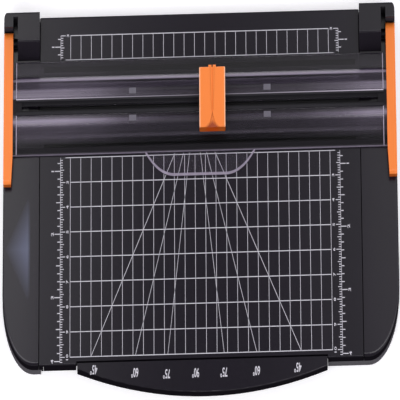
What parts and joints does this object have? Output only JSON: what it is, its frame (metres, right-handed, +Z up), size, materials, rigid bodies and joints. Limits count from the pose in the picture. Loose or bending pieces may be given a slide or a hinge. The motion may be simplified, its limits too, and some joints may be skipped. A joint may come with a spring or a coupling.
{
  "type": "sliding paper trimmer",
  "caption": "Flat desk paper trimmer with a printed ruler deck, a lift-up clear guide rail, a sliding spring-loaded blade head and a swing-out ruler arm along its front edge.",
  "frame": {"origin": "centre of the bounding box's bottom face, on the table that the rubber feet stand on", "axes": "+X along the guide rail to the right end, +Y to the rear edge with the hinges, +Z up; the ruler lip is at -Y"},
  "size_m": [0.3792, 0.1531, 0.035],
  "materials": {
    "deck_abs": "fine-grained black ABS, printed in off-white",
    "wing_abs": "black ABS, semi-gloss",
    "tray_abs": "grey ABS, matt",
    "orange_abs": "orange ABS, satin",
    "smoke_acrylic": "clear smoke acrylic, extruded",
    "black_track": "black PVC channel",
    "clear_clip": "pale polycarbonate",
    "black_acetal": "black acetal",
    "cutting_mat": "soft polypropylene",
    "nylon": "natural nylon",
    "steel": "zinc-plated or ground steel",
    "spring_steel": "music wire",
    "rubber": "moulded rubber",
    "grip_foam": "thin elastomer strip"
  },
  "bodies": {
    "base": {"base_tray": "tray_abs", "deck": "deck_abs", "cutting_mat": "cutting_mat", "wing_left": "wing_abs", "wing_right": "wing_abs", "tower_left": "wing_abs", "tower_right": "wing_abs", "hinge_pin_left": "steel", "hinge_pin_right": "steel", "ruler_pivot": "steel", "ruler_washer": "nylon", "deck_screws": "steel", "wing_screws": "steel", "tower_screws": "steel", "foot_1": "rubber", "foot_2": "rubber", "foot_3": "rubber", "foot_4": "rubber"},
    "rail": {"guide_rail": "smoke_acrylic", "rail_track": "black_track", "sight_window": "smoke_acrylic", "rail_end_left": "black_acetal", "rail_end_right": "black_acetal", "side_arm_left": "orange_abs", "side_arm_right": "orange_abs", "arm_screws": "steel", "grip_strip_back": "grip_foam", "grip_strip_front": "grip_foam", "track_clip_left_back": "clear_clip", "track_clip_left_front": "clear_clip", "track_clip_right_back": "clear_clip", "track_clip_right_front": "clear_clip"},
    "carriage": {"carriage": "black_acetal", "head_spring_left": "spring_steel", "head_spring_right": "spring_steel"},
    "head": {"head_shell_left": "orange_abs", "head_shell_right": "orange_abs", "blade_holder": "steel", "blade": "steel", "blade_rivet": "steel"},
    "ruler": {"ruler_arm": "deck_abs"}
  },
  "joints": [
    {"name": "rail_lift", "type": "hinge", "parent": "base", "child": "rail", "pos_m": [0, 0.06535, 0.0196], "axis": [-1, 0, 0], "range_deg": [0, 70]},
    {"name": "head_travel", "type": "slide", "parent": "rail", "child": "carriage", "axis": [1, 0, 0], "range_m": [-0.1723, 0.1483]},
    {"name": "head_press", "type": "slide", "parent": "carriage", "child": "head", "axis": [0, 0, -1], "range_m": [0, 0.003], "stiffness_N_per_m": 800, "springref_m": -0.0025, "deforming": ["head_spring_left", "head_spring_right"]},
    {"name": "ruler_swing", "type": "hinge", "parent": "base", "child": "ruler", "pos_m": [-0.137, -0.05645, 0.0084], "axis": [0, 0, -1], "range_deg": [0, 90]}
  ]
}
